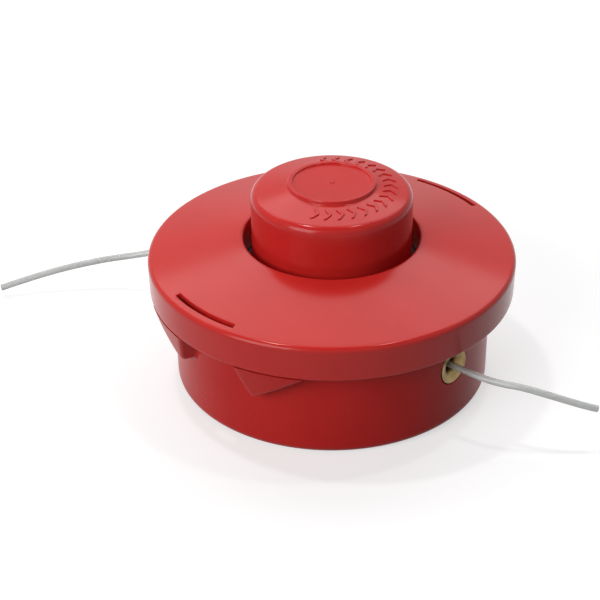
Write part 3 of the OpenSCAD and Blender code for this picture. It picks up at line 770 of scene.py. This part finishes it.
def makeCover():
    windows = [(first, last) + headSet["slots"] for first, last in coverSet["slotSpans"]]
    plate = turned(spaced(filleted(coverSet["corners"])), coverSet["step"], windows)
    mesh = baked(softened(carrierOf(meshFrom("coverPlate", [plate])), 0.22, 60))
    mesh.set_sharp_from_angle(angle=math.radians(32))
    addPiece(mesh, "coverRed", "housing", ["cover"])
    ribs = coverSet["ribs"]
    a, b, half = ribs["inner"], ribs["outer"], ribs["width"] / 2
    rib = prism([(a, coneUnder(a) + 0.6), (b, coneUnder(b) + 0.6), (b, coneUnder(b) - 2),
                 (a + 2, coneUnder(a + 2) - 2), (a, coneUnder(a))], "y", -half, half)
    one = softened(carrierOf(meshFrom("coverRibs", [rib])), 0.25)
    addPiece(grown(one, ringPattern, {
        "Count": ribs["count"], "First Angle": 180 / ribs["count"], "Step Angle": 360 / ribs["count"],
        "Finish": finishes["coverRed"]}), "coverRed", "housing")
    toothRing("coverTeeth", coverSet["dogs"], "coverRed", "housing")


makeCover()
print("cover ready")

# knob: cup with a sloping top, a raised ring, a gate mark and a band of raised marks
knobSet = {
    "corners": [
        (28.3, 43, 0.4), (28.3, 71.71, 3), (15.6, 74.2, 0.5), (15.3, 75.6, 0.5), (13.6, 75.6, 0.5),
        (13.6, 74.9, 0.3), (1.0, 74.9, 0.2), (0.8, 75.3, 0.2), (0, 75.3, 0), (0, 72.4, 0),
        (13.6, 72.4, 0), (24.3, 69.8, 1), (25.8, 68.3, 1), (25.8, 43, 0.3)],
    "step": 2.0,
    "markOutline": [(-2.5, -1.3), (0, 0.4), (2.5, -1.3), (2.5, -0.25), (0, 1.45), (-2.5, -0.25)],
    "markRadius": 20.4,
    "markLow": -0.5,
    "markHigh": 0.4,
    "markCount": 18,
    "firstMark": 254.0,
    "markStep": 12.0,
    "slope": 11.1,
    "ribs": {"count": 6, "width": 1.8, "low": 64.4, "high": 69.9, "inner": 8.0, "reach": 26.2},
}


def knobTopAt(r):
    (r0, z0, _), (r1, z1, _) = knobSet["corners"][1:3]
    return z0 + (z1 - z0) * (r0 - r) / (r0 - r1)


def makeKnob():
    cup = turned(spaced(filleted(knobSet["corners"])), knobSet["step"])
    addPiece(meshFrom("knobCup", [cup], 32), "knobRed", "spool", ["bump_knob"])
    mark = prism(knobSet["markOutline"], "z", knobSet["markLow"], knobSet["markHigh"])
    radius = knobSet["markRadius"]
    laid = moved(mark, tilt=knobSet["slope"], out=radius, lift=knobTopAt(radius))
    one = softened(carrierOf(meshFrom("knobMarks", [laid])), 0.16, 40)
    addPiece(grown(one, ringPattern, {
        "Count": knobSet["markCount"], "First Angle": knobSet["firstMark"],
        "Step Angle": knobSet["markStep"], "Finish": finishes["knobRed"]}),
        "knobRed", "spool")
    ribs = knobSet["ribs"]
    half = ribs["width"] / 2
    rib = prism([(ribs["inner"], ribs["low"]), (ribs["reach"], ribs["low"]),
                 (ribs["reach"], ribs["high"] - 0.8), (24.0, ribs["high"]), (ribs["inner"], 72.6)],
                "y", -half, half)
    one = softened(carrierOf(meshFrom("knobRibs", [rib])), 0.25)
    addPiece(grown(one, ringPattern, {
        "Count": ribs["count"], "Step Angle": 360 / ribs["count"], "Finish": finishes["knobRed"]}),
        "knobRed", "spool")


makeKnob()
print("knob ready")

# brass bushes with a bell mouth where the line leaves
bushSet = {
    "corners": [
        (2.6, 50.62, 0), (4.3, 50.62, 0.2), (4.3, 54.62, 0.1), (6.5, 54.62, 0.15), (6.5, 56.22, 0.25)],
    "bellCentre": (6.0, 52.42),
    "bellRadius": 3.8,
    "bellSteps": 12,
    "throat": (2.2, 51.02),
    "step": 5.0,
}


def makeBushes():
    (r, s), radius = bushSet["bellCentre"], bushSet["bellRadius"]
    bell = [(r + radius * math.cos(a), s + radius * math.sin(a), 0)
            for a in (math.radians(90 + 90 * k / bushSet["bellSteps"])
                      for k in range(bushSet["bellSteps"] + 1))]
    line = filleted(bushSet["corners"] + bell + [bushSet["throat"] + (0,)])
    for name, node, direction in (("lineBushRight", "eyelet_right", headSet["exitDirections"][0]),
                                  ("lineBushLeft", "eyelet_left", headSet["exitDirections"][1])):
        mesh = meshFrom(name, [alongExit(turned(line, bushSet["step"]), direction)], 35)
        addPiece(mesh, "turnedBrass", "housing", [node])


makeBushes()
print("bushes ready")


# studio

studioSet = {
    "floorSize": 6.0,
    "floorShade": 0.50,
    "floorBounce": 0.20,
    "floorGlow": 0.58,      # keeps the plain floor white in the picture
    "nearFloor": 0.22,      # from here out to farFloor the floor turns plain white
    "farFloor": 0.60,
    "worldDim": 0.16,
    "worldBright": 0.85,
}
lampSet = {
    # name: (azimuth from the camera side to the right, elevation, distance, width, height, power)
    "backSoftbox": (180, 53, 1.3, 1.9, 0.8, 10.0),
    "leftTop": (-113, 74, 1.2, 0.08, 0.08, 2.6),
    "rightTop": (113, 74, 1.2, 0.08, 0.08, 1.6),
    "frontLeft": (-42, 26, 1.5, 0.9, 0.9, 14.0),
}
for lampName, (azimuth, elevation, distance, width, height, power) in lampSet.items():
    lampData = bpy.data.lights.new(lampName, "AREA")
    lampData.shape = "RECTANGLE"
    lampData.size, lampData.size_y = width, height
    lampData.energy = power
    lamp = bpy.data.objects.new(lampName, lampData)
    bpy.context.scene.collection.objects.link(lamp)
    a, e = math.radians(azimuth), math.radians(elevation)
    away = Vector((math.sin(a) * math.cos(e), -math.cos(a) * math.cos(e), math.sin(e)))
    lamp.matrix_world = (Matrix.Translation(Vector((0, 0, 0.04)) + away * distance)
                         @ (-away).to_track_quat("-Z", "Y").to_matrix().to_4x4())
    lamp.visible_camera = False

floorMesh = bpy.data.meshes.new("studioFloor")
half = studioSet["floorSize"]
floorMesh.from_pydata([(-half, -half, -0.0002), (half, -half, -0.0002), (half, half, -0.0002),
                       (-half, half, -0.0002)], [], [(0, 1, 2, 3)])
floor = bpy.data.objects.new("studioFloor", floorMesh)
bpy.context.scene.collection.objects.link(floor)
floorMaterial = bpy.data.materials.new("paleFloor")
floorMaterial.use_nodes = True
tree = floorMaterial.node_tree
tree.nodes.clear()
rays = put(tree, "ShaderNodeLightPath").outputs
direct = put(tree, "ShaderNodeMath", {"operation": "MAXIMUM"}, {
    0: rays["Is Camera Ray"], 1: rays["Is Glossy Ray"]})
seen = put(tree, "ShaderNodeMath", {"operation": "MAXIMUM"}, {
    0: direct.outputs[0], 1: rays["Is Transmission Ray"]})
pale = [studioSet["floorShade"]] * 3 + [1]
dim = [studioSet["floorBounce"]] * 3 + [1]
shade = put(tree, "ShaderNodeMix", {"data_type": "RGBA"}, {0: seen.outputs[0], 6: dim, 7: pale})
matt = put(tree, "ShaderNodeBsdfDiffuse", None, {"Color": shade.outputs[2]})
glow = put(tree, "ShaderNodeMath", {"operation": "MULTIPLY"}, {
    0: seen.outputs[0], 1: studioSet["floorGlow"]})
lit = put(tree, "ShaderNodeEmission", None, {"Strength": glow.outputs[0]})
surface = put(tree, "ShaderNodeAddShader", None, {0: matt.outputs[0], 1: lit.outputs[0]})
distance = put(tree, "ShaderNodeVectorMath", {"operation": "LENGTH"}, {
    0: put(tree, "ShaderNodeTexCoord").outputs["Object"]})
far = put(tree, "ShaderNodeMapRange", {"clamp": True}, {
    "Value": distance.outputs["Value"], "From Min": studioSet["nearFloor"],
    "From Max": studioSet["farFloor"]})
white = put(tree, "ShaderNodeEmission", None, {"Strength": seen.outputs[0]})
surface = put(tree, "ShaderNodeMixShader", None, {
    0: far.outputs["Result"], 1: surface.outputs[0], 2: white.outputs[0]})
clear = put(tree, "ShaderNodeBsdfTransparent")
side = put(tree, "ShaderNodeMixShader", None, {
    0: put(tree, "ShaderNodeNewGeometry").outputs["Backfacing"],
    1: surface.outputs[0], 2: clear.outputs[0]})
put(tree, "ShaderNodeOutputMaterial", None, {"Surface": side.outputs[0]})
floorMesh.materials.append(floorMaterial)

world = bpy.data.worlds.new("studio")
bpy.context.scene.world = world
world.use_nodes = True
tree = world.node_tree
tree.nodes.clear()
rays = put(tree, "ShaderNodeLightPath").outputs
seen = put(tree, "ShaderNodeMath", {"operation": "MAXIMUM"}, {
    0: rays["Is Glossy Ray"], 1: rays["Is Transmission Ray"]})
upward = put(tree, "ShaderNodeSeparateXYZ", None, {0: put(tree, "ShaderNodeTexCoord").outputs["Generated"]})
ramp = put(tree, "ShaderNodeValToRGB", None, {0: upward.outputs["Z"]})
ramp.color_ramp.elements[0].position = 0.78
ramp.color_ramp.elements[0].color = [studioSet["worldBright"]] * 3 + [1]
ramp.color_ramp.elements[1].position = 0.88
ramp.color_ramp.elements[1].color = (0.10, 0.10, 0.10, 1)
dimColour = [studioSet["worldDim"]] * 3 + [1]
tone = put(tree, "ShaderNodeMix", {"data_type": "RGBA"}, {
    0: seen.outputs[0], 6: dimColour, 7: ramp.outputs[0]})
tone = put(tree, "ShaderNodeMix", {"data_type": "RGBA"}, {
    0: rays["Is Camera Ray"], 6: tone.outputs[2], 7: (1, 1, 1, 1)})
sky = put(tree, "ShaderNodeBackground", None, {"Color": tone.outputs[2], "Strength": 1.0})
put(tree, "ShaderNodeOutputWorld", None, {"Surface": sky.outputs[0]})

bpy.context.scene.view_settings.view_transform = "Standard"
print("studio ready")
